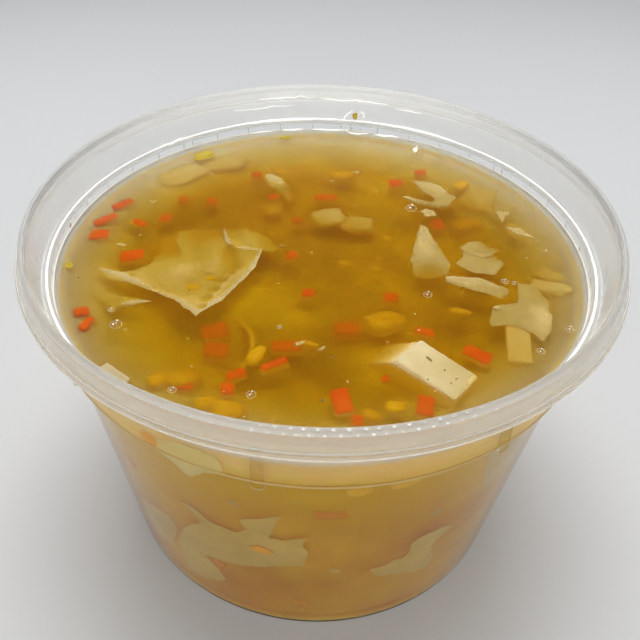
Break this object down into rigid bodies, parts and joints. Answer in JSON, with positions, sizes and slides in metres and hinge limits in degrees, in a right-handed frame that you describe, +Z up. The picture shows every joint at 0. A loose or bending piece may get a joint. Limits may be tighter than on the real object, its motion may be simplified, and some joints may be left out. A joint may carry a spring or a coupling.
{
  "type": "tub of vegetable soup",
  "caption": "Round translucent plastic deli tub, open, filled with clear golden broth with egg sheets, tofu, diced carrot and corn at the surface.",
  "frame": {"origin": "centre of the tub's underside, which stands on z = 0", "axes": "+Z up along the tub's axis; -Y towards the side that the picture shows, +X to its right"},
  "size_m": [0.117, 0.117, 0.0783],
  "materials": {
    "tub_plastic": "milky translucent, satin",
    "broth": "clear golden liquid, wet",
    "tofu": "soft, wet",
    "egg": "thin, wet",
    "carrot": "wet",
    "corn": "wet"
  },
  "bodies": {
    "root": {"container": "tub_plastic", "broth": "broth", "tofu_block": "tofu", "tofu_corner": "tofu", "egg_sheet": "egg", "egg_wing": "egg", "egg_triangle": "egg", "egg_leaf": "egg", "egg_strip": "egg", "egg_ragged": "egg", "egg_curl": "egg", "egg_oval": "egg"}
  },
  "joints": []
}
